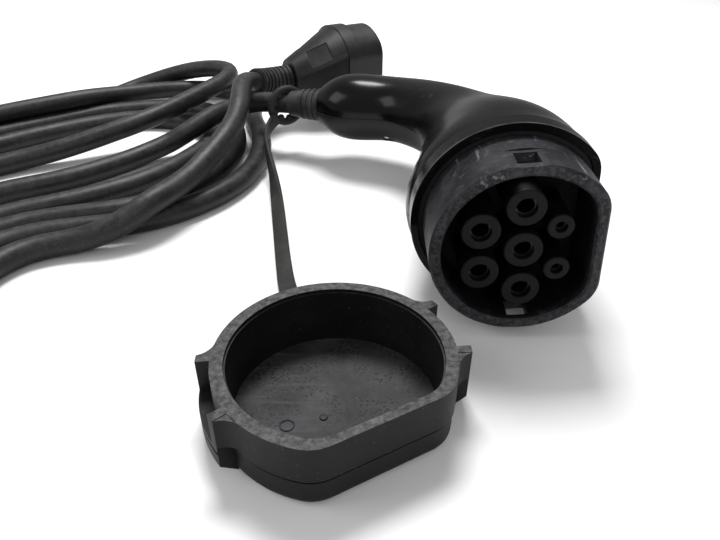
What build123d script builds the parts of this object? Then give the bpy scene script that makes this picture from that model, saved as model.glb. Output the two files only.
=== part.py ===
from build123d import *
import math
import os

# A charging lead for an electric car: the seven-pole vehicle connector with its bent handle,
# its rubber dust cap on a strap, the coiled cable, and the plug for the wall socket.
# Millimetres, +Z up, standing on z = 0.

# Contact layout of the seven-pole face, seen into the mouth
POWER_PITCH = 15.8
LINE_COLUMN = 14.2
SIGNAL_COLUMN = 11.6
SIGNAL_PITCH = 16.1

# Vehicle connector nose
SHROUD_RADIUS = 31.5
SHROUD_FLAT_DROP = 5.3
SHROUD_FLAT = SHROUD_RADIUS - SHROUD_FLAT_DROP
SHROUD_WALL = 4.0
SHROUD_REACH = 23.0
D_CORNER = 12.0
RIM_CHAMFER = 0.8
FIT_GAP = 0.1
WINDOW_WIDTH = 7.5
WINDOW_START = 3.0
WINDOW_LENGTH = 8.0
TRACK_DEPTH = 0.6
TRACK_MARGIN = 2.0
POWER_TURRET_RADIUS = 6.6
SIGNAL_TURRET_RADIUS = 4.5
TURRET_SETBACK = 2.0
TURRET_ROUND = 0.6
CAVITY_DEPTH = 22.0
CARRIER_THICK = 5.0
SHROUD_REAR_WALL = 2.4
SPIGOT_LENGTH = 18.0
POWER_ENTRY_RADIUS = 3.5
SIGNAL_ENTRY_RADIUS = 2.1
ENTRY_DEPTH = 2.5
POWER_BORE = 3.0
SIGNAL_BORE = 1.5
POWER_SOCKET_RADIUS = 4.6
SIGNAL_SOCKET_RADIUS = 2.6
SOCKET_COLLAR_RISE = 1.2
SOCKET_COLLAR_THICK = 2.0
SOCKET_BORE_DEPTH = 24.0
SOCKET_TAIL = 14.0
TAIL_WALL = 1.4
RETAINER_THICK = 4.0
RETAINER_SCREW_RADIUS = 1.4
RETAINER_SCREW_REACH = 24.0
RETAINER_SCREW_ANGLES = (20, 90, 180, 270, 340)

# Handle housing, moulded in two halves that meet on the middle plane
LIP_OVERHANG = 4.5
LIP_RADIUS = SHROUD_RADIUS + LIP_OVERHANG
LIP_FLAT_OVERHANG = 3.4
LIP_FLAT = SHROUD_FLAT + LIP_FLAT_OVERHANG
HOUSING_WALL = 2.6
LIP_STRAIGHT = 8.0
SEAL_RECESS = 2.5
LEDGE_THICK = 1.5
SEAL_THICK = 1.8
COLLAR_THICK = 3.0
END_WALL = 4.5
CONNECTOR_ROLL = -4.5
PARTING_GAP = 0.05

# Cable and its sleeve at the handle
CABLE_RADIUS = 5.5
BOOT_NECK_RADIUS = 8.4
BOOT_COLLAR_RADIUS = 11.0
BOOT_COLLAR_THICK = 2.5
BOOT_TIP_RADIUS = 6.8
BOOT_LENGTH = 20.0
BOOT_RINGS = 4

# Dust cap and its strap
CAP_WALL = 4.4
CAP_CLEARANCE = 0.4
CAP_HEIGHT = 23.0
CAP_FLOOR = 2.0
CAP_STEP = 0.5
CAP_STEP_HEIGHT = 10.5
CAP_ROUND = 3.0
LUG_REACH = 4.2
LUG_THICK = 3.0
LUG_SHELF = 12.0
LUG_CHAMFER = 5.0
LUG_SPAN = 35.0
LUG_ANGLES = (81.5, 261.5)
STRAP_WIDTH = 6.5
STRAP_THICK = 2.0
RING_RADIUS = 10.0
RING_THICK = 2.4
RING_NUBS = 6

# Wall plug
PLUG_NOSE_RADIUS = 27.1
PLUG_NOSE_FLAT = 21.8
PLUG_NOSE_LENGTH = 16.0
PLUG_COLLAR_RADIUS = 28.4
PLUG_COLLAR_FLAT = 23.4
PLUG_COLLAR_LENGTH = 9.0
PLUG_BODY_LENGTH = 30.0
PLUG_TAIL_RADIUS = 12.0
PLUG_WALL = 2.5
PLUG_BOOT_RADIUS = 8.6
PLUG_BOOT_LENGTH = 27.0
PLUG_BOOT_RIBS = 8
RIB_RISE = 0.8
RIB_SHARE = 0.5
SLEEVE_TAPER = 0.8
SLEEVE_BEND = 42.0
SLEEVE_LEAN = 27.0
RECESS_ANGLE = 52.0
RECESS_PLACE = -19.0
RECESS_LENGTH = 14.0
RECESS_WIDTH = 12.0
RECESS_DEPTH = 1.2
WELL_CLEARANCE = 0.25
WELL_DEPTH = 20.0
PIN_SETBACK = 4.0
PIN_ROOT = 8.0
PIN_SHOULDER = 0.8
PIN_DOME = 0.6

# Where things lie on the floor
CONNECTOR_AT = (38.0, -54.0)
CAP_AT = (-23.2, -88.7)
CAP_TURN = -60.4
PLUG_AT = (-30.7, 178.0)
PLUG_TURN = 30.0


def d_face(radius, flat, corner=D_CORNER):
    """Round face with one flat towards its own +X, the two corners rounded."""
    cutter = Pos(flat + radius, 0) * Rectangle(2 * radius, 4 * radius)
    face = Circle(radius) - cutter
    return fillet(face.vertices(), corner)


def section(depth):
    """Plane across the connector's axis, depth behind the rim, its X towards the flat."""
    return Plane(origin=(0, depth, 0), x_dir=(1, 0, 0), z_dir=(0, 1, 0))


def d_bar(radius, flat, start, end, corner=D_CORNER):
    return extrude(section(start) * d_face(radius, flat, corner), end - start)


def rod(across, up, radius, start, end):
    """Round bar along the axis, placed across and up from the middle of the face."""
    return extrude(section(start) * Pos(across, -up) * Circle(radius), end - start)


LAYOUT = {
    "n": (0, POWER_PITCH),
    "pe": (0, 0),
    "l1": (0, -POWER_PITCH),
    "l3": (-LINE_COLUMN, POWER_PITCH / 2),
    "l2": (-LINE_COLUMN, -POWER_PITCH / 2),
    "cp": (SIGNAL_COLUMN, SIGNAL_PITCH / 2),
    "pp": (SIGNAL_COLUMN, -SIGNAL_PITCH / 2),
}
SIGNALS = ("cp", "pp")

inner_radius = SHROUD_RADIUS - SHROUD_WALL
inner_flat = SHROUD_FLAT - SHROUD_WALL
seat_radius = SHROUD_RADIUS - SHROUD_REAR_WALL
seat_flat = SHROUD_FLAT - SHROUD_REAR_WALL
lip_inner_radius = LIP_RADIUS - HOUSING_WALL
lip_inner_flat = LIP_FLAT - HOUSING_WALL
collar_start = SHROUD_REACH + SEAL_RECESS + LEDGE_THICK
carrier_end = CAVITY_DEPTH + CARRIER_THICK
retainer_end = carrier_end + RETAINER_THICK
spigot_end = collar_start + COLLAR_THICK + SPIGOT_LENGTH


def nose_shroud():
    """D-shaped sleeve with the clamped collar and the two windows for the lock pin."""
    body = d_bar(SHROUD_RADIUS, SHROUD_FLAT, 0, spigot_end)
    body += d_bar(
        lip_inner_radius - FIT_GAP,
        lip_inner_flat - FIT_GAP,
        collar_start,
        collar_start + COLLAR_THICK,
    )
    body -= d_bar(inner_radius, inner_flat, 0, CAVITY_DEPTH)
    body -= d_bar(seat_radius, seat_flat, CAVITY_DEPTH, spigot_end)
    rim = body.faces().sort_by(Axis.Y)[0]
    body = chamfer(rim.edges(), RIM_CHAMFER)
    window = Box(WINDOW_WIDTH, WINDOW_LENGTH, 4 * SHROUD_RADIUS)
    body -= Pos(0, WINDOW_START + WINDOW_LENGTH / 2, 0) * window
    track_length = WINDOW_START + WINDOW_LENGTH + TRACK_MARGIN
    for side in (1, -1):
        track = Box(WINDOW_WIDTH + 2 * TRACK_MARGIN, track_length, 2 * SHROUD_WALL)
        lift = side * (SHROUD_RADIUS - TRACK_DEPTH + SHROUD_WALL)
        body -= Pos(0, track_length / 2, lift) * track
    return body


def shroud_seal():
    """Rubber ring in the recess between the sleeve and the housing's lip."""
    start = SHROUD_REACH + SEAL_RECESS - SEAL_THICK
    end = SHROUD_REACH + SEAL_RECESS
    ring = d_bar(lip_inner_radius - FIT_GAP, lip_inner_flat - FIT_GAP, start, end)
    return ring - d_bar(SHROUD_RADIUS + FIT_GAP, SHROUD_FLAT + FIT_GAP, start, end)


def contact_carrier():
    """Plate with one insulating turret for each contact."""
    body = d_bar(seat_radius - FIT_GAP, seat_flat - FIT_GAP, CAVITY_DEPTH, carrier_end)
    for name, (across, up) in LAYOUT.items():
        turret_radius = SIGNAL_TURRET_RADIUS if name in SIGNALS else POWER_TURRET_RADIUS
        turret = rod(across, up, turret_radius, TURRET_SETBACK, CAVITY_DEPTH + 1)
        tip = turret.faces().sort_by(Axis.Y)[0]
        body += fillet(tip.edges(), TURRET_ROUND)
    for name, (across, up) in LAYOUT.items():
        signal = name in SIGNALS
        entry = SIGNAL_ENTRY_RADIUS if signal else POWER_ENTRY_RADIUS
        socket = SIGNAL_SOCKET_RADIUS if signal else POWER_SOCKET_RADIUS
        body -= rod(across, up, entry, 0, carrier_end)
        body -= rod(across, up, socket + FIT_GAP, TURRET_SETBACK + ENTRY_DEPTH, carrier_end)
        collar = socket + SOCKET_COLLAR_RISE + FIT_GAP
        body -= rod(across, up, collar, carrier_end - SOCKET_COLLAR_THICK, carrier_end)
    for across, up in screw_places():
        body -= rod(across, up, RETAINER_SCREW_RADIUS, CAVITY_DEPTH + 1, carrier_end)
    return body


def contact(name):
    """Turned socket: a bore for the pin, a collar, and a hollow tail for the wire."""
    across, up = LAYOUT[name]
    signal = name in SIGNALS
    bore = SIGNAL_BORE if signal else POWER_BORE
    outer = SIGNAL_SOCKET_RADIUS if signal else POWER_SOCKET_RADIUS
    start = TURRET_SETBACK + ENTRY_DEPTH
    tail_end = retainer_end + SOCKET_TAIL
    tail_radius = outer - FIT_GAP
    body = rod(across, up, outer, start, carrier_end)
    collar_face = carrier_end - SOCKET_COLLAR_THICK
    body += rod(across, up, outer + SOCKET_COLLAR_RISE, collar_face, carrier_end)
    body += rod(across, up, tail_radius, carrier_end, tail_end)
    body -= rod(across, up, bore, start, start + SOCKET_BORE_DEPTH)
    hollow = tail_radius - TAIL_WALL
    body -= rod(across, up, hollow, retainer_end + 2, tail_end)
    return body


def screw_places():
    """Places of the retainer's screws, near the edge of the plate."""
    reach = RETAINER_SCREW_REACH
    places = []
    for angle in RETAINER_SCREW_ANGLES:
        across = reach * math.cos(math.radians(angle))
        up = reach * math.sin(math.radians(angle))
        limit = seat_flat - RETAINER_SCREW_RADIUS * 3
        places.append((min(across, limit), up))
    return places


def contact_retainer():
    """Plate behind the carrier that keeps the contacts' collars in their seats."""
    body = d_bar(seat_radius - FIT_GAP, seat_flat - FIT_GAP, carrier_end, retainer_end)
    for name, (across, up) in LAYOUT.items():
        outer = SIGNAL_SOCKET_RADIUS if name in SIGNALS else POWER_SOCKET_RADIUS
        body -= rod(across, up, outer, carrier_end, retainer_end)
    for across, up in screw_places():
        body -= rod(across, up, RETAINER_SCREW_RADIUS, carrier_end, retainer_end)
    return body


def retainer_screws():
    """Pan-head screws that hold the retainer to the carrier."""
    shank_radius = RETAINER_SCREW_RADIUS - FIT_GAP
    head_radius = RETAINER_SCREW_RADIUS * 1.8
    head_height = RETAINER_SCREW_RADIUS * 1.1
    group = []
    for across, up in screw_places():
        screw = rod(across, up, shank_radius, CAVITY_DEPTH + 2, retainer_end)
        head_end = retainer_end + head_height
        head = rod(across, up, head_radius, retainer_end, head_end)
        slot_span = Box(2 * head_radius, head_height, head_radius / 3)
        screw += head
        screw -= Pos(across, head_end, up) * slot_span
        group.append(screw)
    return Compound(group)


# Handle centre line: place behind the lip, heading from +Y towards -X in degrees,
# radius, and distance to the flattened back. The last ones follow one straight line.
GRIP_AT = (-44.0, 127.0)
GRIP_HEADING = 69.6
GRIP_RADIUS = 16.8
grip_x = -math.sin(math.radians(GRIP_HEADING))
grip_y = math.cos(math.radians(GRIP_HEADING))


def along_grip(distance):
    """Point on the straight end of the handle's centre line."""
    return GRIP_AT[0] + distance * grip_x, GRIP_AT[1] + distance * grip_y


POMMEL_REACH = 15.0
POMMEL_RADIUS = 17.3
SHOULDER_REACH = 24.0
SHOULDER_RADIUS = 15.4
TAIL_REACH = 32.0
TAIL_RADIUS = 10.8

BEND_STATIONS = (
    ((0, LIP_STRAIGHT), 0, LIP_RADIUS, LIP_FLAT),
    ((0, 24), 1, 34.6, 29.2),
    ((-0.6, 48), 4, 29.4, 26.6),
    ((-3.5, 74), 13, 22.4, 21.4),
    ((-11.5, 98), 30, 18.6, 18.1),
    ((-26, 116), 49, 17.0, 16.7),
)
END_STATIONS = (
    (0, GRIP_RADIUS),
    (POMMEL_REACH, POMMEL_RADIUS),
    (SHOULDER_REACH, SHOULDER_RADIUS),
)


def handle_plane(point, heading):
    """Plane across the handle, its X towards the outside of the bend."""
    turn = math.radians(heading)
    forward = (-math.sin(turn), math.cos(turn), 0)
    outward = (math.cos(turn), math.sin(turn), 0)
    origin = (point[0], SHROUD_REACH + point[1], 0)
    return Plane(origin=origin, x_dir=outward, z_dir=forward)


def handle_form(inset, tail_reach, tail_radius):
    """Solid of the handle, inset all round, with its own reach and radius at the tail."""
    faces = []
    for point, heading, radius, flat in BEND_STATIONS:
        face = d_face(radius - inset, flat - inset, (radius - inset) * D_CORNER / SHROUD_RADIUS)
        faces.append(handle_plane(point, heading) * face)
    ends = [(reach, radius - inset) for reach, radius in END_STATIONS]
    ends.append((tail_reach, tail_radius))
    for reach, edge in ends:
        face = d_face(edge, edge * 0.985, edge * D_CORNER / SHROUD_RADIUS)
        faces.append(handle_plane(along_grip(reach), GRIP_HEADING) * face)
    return loft(faces)


HEAD_SCREWS = ((17.0, 34.0), (-19.0, 36.0))
GRIP_SCREW_REACH = -30.0
GRIP_SCREW_OFFSET = 10.6
HOUSING_SCREW_RADIUS = 1.6
BOSS_WALL = 2.0
SCREW_HEAD_RADIUS = 3.0
SCREW_HEAD_HEIGHT = 2.4
HEAD_SCREW_SEAT = -17.0
GRIP_SCREW_SEAT = -8.5
SCREW_BITE = 8.0


def screw_posts():
    """Places of the housing screws: two in the head, two beside the cable."""
    posts = []
    for x, y in HEAD_SCREWS:
        posts.append((x, SHROUD_REACH + y, HEAD_SCREW_SEAT))
    turn = math.radians(GRIP_HEADING)
    middle = along_grip(-8)
    for side in (1, -1):
        x = middle[0] + side * GRIP_SCREW_OFFSET * math.cos(turn)
        y = middle[1] + side * GRIP_SCREW_OFFSET * math.sin(turn)
        posts.append((x, SHROUD_REACH + y, GRIP_SCREW_SEAT))
    return posts


def upright(x, y, radius, bottom, top):
    """Round bar standing across the middle plane."""
    return Pos(x, y, (bottom + top) / 2) * Cylinder(radius, top - bottom)


def handle_housing():
    """Hollow handle with the seats for nose, seal and sleeve, before it is parted."""
    lip_start = SHROUD_REACH
    outer = d_bar(LIP_RADIUS, LIP_FLAT, lip_start, lip_start + LIP_STRAIGHT)
    outer += handle_form(0, TAIL_REACH, TAIL_RADIUS)
    inner = d_bar(
        lip_inner_radius, lip_inner_flat, collar_start, lip_start + LIP_STRAIGHT
    )
    inner += handle_form(HOUSING_WALL, TAIL_REACH - END_WALL, BOOT_COLLAR_RADIUS + FIT_GAP)
    shell = outer - inner
    shell -= d_bar(lip_inner_radius, lip_inner_flat, lip_start, lip_start + SEAL_RECESS)
    shell -= d_bar(SHROUD_RADIUS + FIT_GAP, SHROUD_FLAT + FIT_GAP, lip_start, collar_start)
    boss_radius = HOUSING_SCREW_RADIUS + BOSS_WALL
    tall = LIP_RADIUS
    for x, y, seat in screw_posts():
        shell += upright(x, y, boss_radius, -tall, tall) & outer
    for x, y, seat in screw_posts():
        shell -= upright(x, y, HOUSING_SCREW_RADIUS + FIT_GAP, seat, SCREW_BITE + 1)
        shell -= upright(x, y, SCREW_HEAD_RADIUS + 2 * FIT_GAP, -tall - 1, seat)
    tail = handle_plane(along_grip(TAIL_REACH - 2 * END_WALL), GRIP_HEADING)
    shell -= extrude(tail * Circle(BOOT_NECK_RADIUS + FIT_GAP), 4 * END_WALL)
    return shell


def half_space(side):
    """Large block on one side of the parting plane."""
    size = 400
    return Pos(0, 0, side * (size / 2 + PARTING_GAP / 2)) * Box(size, 2 * size, size)


def housing_screws():
    """Countersunk-seat screws that draw the two halves of the handle together."""
    group = []
    for x, y, seat in screw_posts():
        screw = upright(x, y, HOUSING_SCREW_RADIUS, seat, SCREW_BITE)
        screw += upright(x, y, SCREW_HEAD_RADIUS, seat - SCREW_HEAD_HEIGHT, seat)
        socket = RegularPolygon(SCREW_HEAD_RADIUS / 2, 6)
        cut = extrude(socket, SCREW_HEAD_HEIGHT / 2)
        screw -= Pos(x, y, seat - SCREW_HEAD_HEIGHT) * cut
        group.append(screw)
    return Compound(group)


BOOT_START = TAIL_REACH - END_WALL - BOOT_COLLAR_THICK
BOOT_END = TAIL_REACH + BOOT_LENGTH
JACKET_START = -2.0


def grip_rod(radius, start, end):
    """Round bar on the straight end of the handle's centre line."""
    return extrude(handle_plane(along_grip(start), GRIP_HEADING) * Circle(radius), end - start)


def strain_relief():
    """Rubber sleeve, held by its collar inside the handle and tapered outside."""
    neck_end = TAIL_REACH
    body = grip_rod(BOOT_COLLAR_RADIUS, BOOT_START, BOOT_START + BOOT_COLLAR_THICK)
    body += grip_rod(BOOT_NECK_RADIUS, BOOT_START, neck_end)
    root = handle_plane(along_grip(neck_end), GRIP_HEADING)
    tip = handle_plane(along_grip(BOOT_END), GRIP_HEADING)
    body += loft([root * Circle(BOOT_NECK_RADIUS), tip * Circle(BOOT_TIP_RADIUS)])
    ring_pitch = BOOT_LENGTH / (BOOT_RINGS + 2)
    for index in range(BOOT_RINGS):
        start = neck_end + ring_pitch * (index + 0.4)
        shrink = (BOOT_NECK_RADIUS - BOOT_TIP_RADIUS) * (start - neck_end) / BOOT_LENGTH
        body += grip_rod(BOOT_NECK_RADIUS - shrink + 0.5, start, start + ring_pitch * 0.5)
    return body - grip_rod(CABLE_RADIUS, BOOT_START, BOOT_END)


def cable_jacket_end():
    """Last stretch of the cable, gripped inside the handle."""
    return grip_rod(CABLE_RADIUS, JACKET_START, BOOT_END + JACKET_PAST_BOOT)


CLAMP_REACH = 10.0
CLAMP_LENGTH = 9.0
CLAMP_HEIGHT = 4.0
CLAMP_HALF = 11.0
CLAMP_DROP = 2.5
CLAMP_SCREW_OFFSET = 8.6
CLAMP_SCREW_RADIUS = 1.3
CLAMP_HEAD_RADIUS = 2.3
CLAMP_HEAD_HEIGHT = 1.4
clamp_seat = CABLE_RADIUS - CLAMP_DROP
clamp_top = clamp_seat + CLAMP_HEIGHT


def grip_block(across, length, height, reach, lift):
    """Block square to the handle's straight end, centred across it."""
    plane = handle_plane(along_grip(reach), GRIP_HEADING)
    block = Box(across, height, length)
    return plane * Pos(0, -lift, 0) * block


def cable_clamp():
    """Saddle that presses the cable down on its cradle."""
    lift = clamp_seat + CLAMP_HEIGHT / 2
    body = grip_block(2 * CLAMP_HALF, CLAMP_LENGTH, CLAMP_HEIGHT, CLAMP_REACH, lift)
    body -= grip_rod(CABLE_RADIUS, CLAMP_REACH - CLAMP_LENGTH, CLAMP_REACH + CLAMP_LENGTH)
    for side in (1, -1):
        x, y = clamp_screw_place(side)
        body -= upright(x, y, CLAMP_SCREW_RADIUS, -LIP_RADIUS, LIP_RADIUS)
    return body


def clamp_screw_place(side):
    turn = math.radians(GRIP_HEADING)
    x, y = along_grip(CLAMP_REACH)
    x += side * CLAMP_SCREW_OFFSET * math.cos(turn)
    y += side * CLAMP_SCREW_OFFSET * math.sin(turn)
    return x, SHROUD_REACH + y


def clamp_posts(outer):
    """Two posts in the lower half that carry the saddle."""
    posts = None
    for side in (1, -1):
        x, y = clamp_screw_place(side)
        post = upright(x, y, CLAMP_SCREW_RADIUS + BOSS_WALL, -LIP_RADIUS, clamp_seat) & outer
        posts = post if posts is None else posts + post
    for side in (1, -1):
        x, y = clamp_screw_place(side)
        posts -= upright(x, y, CLAMP_SCREW_RADIUS, clamp_seat - 7, clamp_seat)
    return posts - grip_rod(CABLE_RADIUS, CLAMP_REACH - 20, CLAMP_REACH + 20)


def clamp_screws():
    group = []
    for side in (1, -1):
        x, y = clamp_screw_place(side)
        screw = upright(x, y, CLAMP_SCREW_RADIUS - FIT_GAP / 2, clamp_seat - 6, clamp_top)
        head_end = clamp_top + CLAMP_HEAD_HEIGHT
        screw += upright(x, y, CLAMP_HEAD_RADIUS, clamp_top, head_end)
        group.append(screw)
    return Compound(group)


cap_inner_radius = SHROUD_RADIUS + CAP_CLEARANCE
cap_inner_flat = SHROUD_FLAT + CAP_CLEARANCE


def up_bar(radius, flat, bottom, top):
    return extrude(Pos(0, 0, bottom) * d_face(radius, flat), top - bottom)


def dust_cap():
    """Open rubber cup that fits over the nose, with a finger lug on either side."""
    radius = cap_inner_radius + CAP_WALL
    flat = cap_inner_flat + CAP_WALL * 0.75
    body = up_bar(radius, flat, CAP_STEP_HEIGHT, CAP_HEIGHT)
    lower = up_bar(radius - CAP_STEP, flat - CAP_STEP, 0, CAP_STEP_HEIGHT)
    base = lower.faces().sort_by(Axis.Z)[0]
    body += fillet(base.edges(), CAP_ROUND)
    lug_radius = radius + LUG_REACH
    for middle in LUG_ANGLES:
        half = LUG_SPAN / 2 + math.degrees(LUG_THICK / 2 / lug_radius)
        wedge = lug_sector(lug_radius, middle, half, 0, CAP_HEIGHT)
        cone = Pos(0, 0, LUG_CHAMFER / 2) * Cone(
            lug_radius - LUG_CHAMFER, lug_radius, LUG_CHAMFER
        )
        cone += Pos(0, 0, (LUG_CHAMFER + CAP_HEIGHT) / 2) * Cylinder(
            lug_radius, CAP_HEIGHT - LUG_CHAMFER
        )
        notch_half = LUG_SPAN / 2 - math.degrees(LUG_THICK / 2 / lug_radius)
        notch = lug_sector(2 * lug_radius, middle, notch_half, LUG_SHELF, CAP_HEIGHT)
        body += (wedge & cone) - (notch - up_bar(radius, flat, 0, CAP_HEIGHT))
    body -= up_bar(cap_inner_radius, cap_inner_flat, CAP_FLOOR, CAP_HEIGHT)
    body -= up_bar(
        cap_inner_radius + 0.5, cap_inner_flat + 0.5, CAP_HEIGHT - 1.2, CAP_HEIGHT
    )
    return body


def lug_sector(radius, middle, half, bottom, top):
    """Pie slice between two angles from the flat's direction."""
    points = [(0, 0)]
    for angle in (middle - half, middle + half):
        turn = math.radians(angle)
        reach = radius * 1.3
        points.append((reach * math.cos(turn), reach * math.sin(turn)))
    slice_face = make_face(Polyline(points, close=True)) & Circle(radius)
    return extrude(Pos(0, 0, bottom) * slice_face, top - bottom)


RING_TURN = 45.0
RING_HOLE = 8.2
NUB_RADIUS = 1.3
NUB_REACH = 7.0
NUB_GAP = 0.35
RING_SLIP = 4.5
JACKET_PAST_BOOT = 10.0
STRAP_STATIONS = (
    ((-68.5, 101.0, 16.0), 90),
    ((-66.0, 84.0, 14.2), 85),
    ((-61.0, 66.0, 9.0), 72),
    ((-57.0, 46.0, 4.6), 35),
    ((-53.5, 22.0, 2.0), 8),
    ((-50.0, -8.0, 1.4), 0),
    ((-47.0, -34.0, 3.4), 0),
    ((-43.6, -51.0, 9.0), 0),
)


def connector_place():
    return Location((CONNECTOR_AT[0], CONNECTOR_AT[1], LIP_RADIUS), (0, CONNECTOR_ROLL, 0))


def cap_place():
    return Location((CAP_AT[0], CAP_AT[1], 0), (0, 0, CAP_TURN))


def placed(point):
    """Where a point of the connector's own frame lies on the floor."""
    moved = connector_place() * Pos(*point)
    return moved.position


def jacket_point(distance):
    x, y = along_grip(distance)
    return placed((x, SHROUD_REACH + y, 0))


def cap_tether():
    """Rubber ring round the cable, and the twisted strap that runs from it to the cap."""
    turn = math.radians(RING_TURN)
    normal = Vector(-math.sin(turn), math.cos(turn), 0)
    sag = NUB_REACH - CABLE_RADIUS - NUB_GAP
    centre = jacket_point(BOOT_END + RING_SLIP) - Vector(0, 0, sag)
    plane = Plane(origin=centre, x_dir=(0, 0, 1), z_dir=normal)
    face = Circle(RING_RADIUS) - Circle(RING_HOLE)
    for index in range(RING_NUBS):
        turn = 2 * math.pi * index / RING_NUBS
        reach = NUB_REACH + NUB_RADIUS
        face += Pos(reach * math.cos(turn), reach * math.sin(turn)) * Circle(NUB_RADIUS)
    body = extrude(plane * face, RING_THICK / 2, both=True)
    fall = Vector(-0.54, -0.54, -0.64)
    stations = [(centre + fall * (RING_RADIUS - 1.2), 90)]
    stations += [(Vector(*point), twist) for point, twist in STRAP_STATIONS]
    turn = math.radians(CAP_TURN)
    back = Vector(-math.cos(turn), -math.sin(turn), 0)
    wall = cap_inner_radius + CAP_WALL + 0.2
    anchor = Vector(CAP_AT[0], CAP_AT[1], 0) + back * wall
    stations.append((anchor + Vector(0, 0, 13.0), 0))
    faces = []
    for index, (point, twist) in enumerate(stations):
        before = stations[max(index - 1, 0)][0]
        after = stations[min(index + 1, len(stations) - 1)][0]
        run = (after - before).normalized()
        if index == len(stations) - 1:
            run = back * -1
        level = Vector(run.Y, -run.X, 0).normalized()
        edge = level.cross(run)
        tilt = math.radians(twist)
        across = level * math.cos(tilt) + edge * math.sin(tilt)
        plane = Plane(origin=point, x_dir=across, z_dir=run)
        faces.append(plane * Rectangle(STRAP_WIDTH, STRAP_THICK))
    return body + loft(faces)


# The coiled cable: one band of the coil's outer shape, and the two ends that leave it
COIL_TIP = (-91.0, 174.0)
COIL_HEADING = 226.0
FLOOR_NEAR = (97.0, -7.0, 90.0)
FLOOR_FAR = (315.0, -2.0, 88.0)
PILE_NEAR = (112.0, -8.0, 78.0)
PILE_FAR = (318.0, -2.0, 80.0)
HOLE_NEAR = (118.0, -3.0, 12.0)
HOLE_FAR = (290.0, 4.0, 12.0)
PILE_HEIGHT = 24.0
LEAD_RUN = 17.0
LEAD_END = (-99.0, 126.0, 17.5)
RETURN_RUN = 17.0
RETURN_TOP = (-87.5, 105.0, 34.5)
RETURN_END = (-96.0, 74.0, 19.0)


def coil_point(along, aside):
    turn = math.radians(COIL_HEADING)
    x = COIL_TIP[0] + along * math.cos(turn) + aside * math.sin(turn)
    y = COIL_TIP[1] + along * math.sin(turn) - aside * math.cos(turn)
    return x, y


def coil_layer(near, far, bottom, top):
    """Slab round two discs, its edges as round as the cable, with the coil's hole."""
    outline = [Pos(*coil_point(s, t)) * Circle(r) for s, t, r in (near, far)]
    hole = [Pos(*coil_point(s, t)) * Circle(r) for s, t, r in (HOLE_NEAR, HOLE_FAR)]
    slab = make_hull(outline[0].edges() + outline[1].edges())
    slab -= make_hull(hole[0].edges() + hole[1].edges())
    body = extrude(Pos(0, 0, bottom) * slab, top - bottom)
    return fillet(body.edges().group_by(Axis.Z)[-1], CABLE_RADIUS * 0.9)


def cable_coil():
    """Outer shape of the loose turns: one layer on the floor and the pile on it."""
    body = coil_layer(FLOOR_NEAR, FLOOR_FAR, 0, 2 * CABLE_RADIUS)
    return body + coil_layer(PILE_NEAR, PILE_FAR, CABLE_RADIUS, PILE_HEIGHT)


def cable_tube(name, points):
    """Round cable on straight runs joined by arcs as large as the runs allow."""
    radii = []
    for before, corner, after in zip(points, points[1:], points[2:]):
        turn = (corner - before).get_angle(after - corner)
        shorter = min((corner - before).length, (after - corner).length)
        radii.append(0.45 * shorter / math.tan(math.radians(turn / 2)))
    print(name, "radii", [round(radius, 1) for radius in radii])
    path = FilletPolyline(points, radius=radii)
    tube = sweep(Plane(origin=path @ 0, z_dir=path % 0) * Circle(CABLE_RADIUS), path)
    ideal = math.pi * CABLE_RADIUS**2 * path.length
    print(name, "length", round(path.length, 1), "volume ratio", round(tube.volume / ideal, 4))
    return tube


def plug_place():
    forward = math.radians(PLUG_TURN)
    return Plane(
        origin=(PLUG_AT[0], PLUG_AT[1], PLUG_COLLAR_RADIUS),
        x_dir=(math.sin(forward), -math.cos(forward), 0),
        z_dir=(math.cos(forward), math.sin(forward), 0),
    )


collar_half = PLUG_COLLAR_LENGTH / 2
plug_front = collar_half + PLUG_NOSE_LENGTH
plug_tail = -collar_half - PLUG_BODY_LENGTH
well_bottom = plug_front - WELL_DEPTH
PLUG_SPIGOT = 9.0
PLUG_SHOULDER_RADIUS = 27.6
PLUG_SHOULDER_FLAT = 22.6


def plug_bar(radius, flat, start, end):
    return extrude(Pos(0, 0, start) * d_face(radius, flat), end - start)


def plug_rod(name, radius, start, end):
    """Round bar along the plug at one pole's place, the layout mirrored for pins."""
    across, up = LAYOUT[name]
    return extrude(Pos(across, -up, start) * Circle(radius), end - start)


def plug_cone(inset):
    """Body that widens from the cable to the collar."""
    corner = D_CORNER * 0.8
    root = d_face(PLUG_TAIL_RADIUS - inset, (PLUG_TAIL_RADIUS - inset) * 0.985, 4)
    waist_radius = (PLUG_TAIL_RADIUS + PLUG_SHOULDER_RADIUS) / 2
    waist = d_face(waist_radius - inset, waist_radius * 0.9 - inset, 6)
    shoulder = d_face(PLUG_SHOULDER_RADIUS - inset, PLUG_SHOULDER_FLAT - inset, corner)
    return loft(
        [
            Pos(0, 0, plug_tail) * root,
            Pos(0, 0, plug_tail + PLUG_BODY_LENGTH * 0.5) * waist,
            Pos(0, 0, -collar_half) * shoulder,
        ]
    )


def well_radius(name):
    turret = SIGNAL_TURRET_RADIUS if name in SIGNALS else POWER_TURRET_RADIUS
    return turret + WELL_CLEARANCE


def plug_nose():
    """Front moulding with a round well for each pin, and the front of the collar."""
    body = plug_bar(PLUG_NOSE_RADIUS, PLUG_NOSE_FLAT, collar_half, plug_front)
    tip = body.faces().sort_by(Axis.Z)[-1]
    body = chamfer(tip.edges(), RIM_CHAMFER)
    body += plug_bar(PLUG_COLLAR_RADIUS, PLUG_COLLAR_FLAT, well_bottom, collar_half)
    for name in LAYOUT:
        body -= plug_rod(name, well_radius(name), well_bottom, plug_front)
    return body


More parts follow.
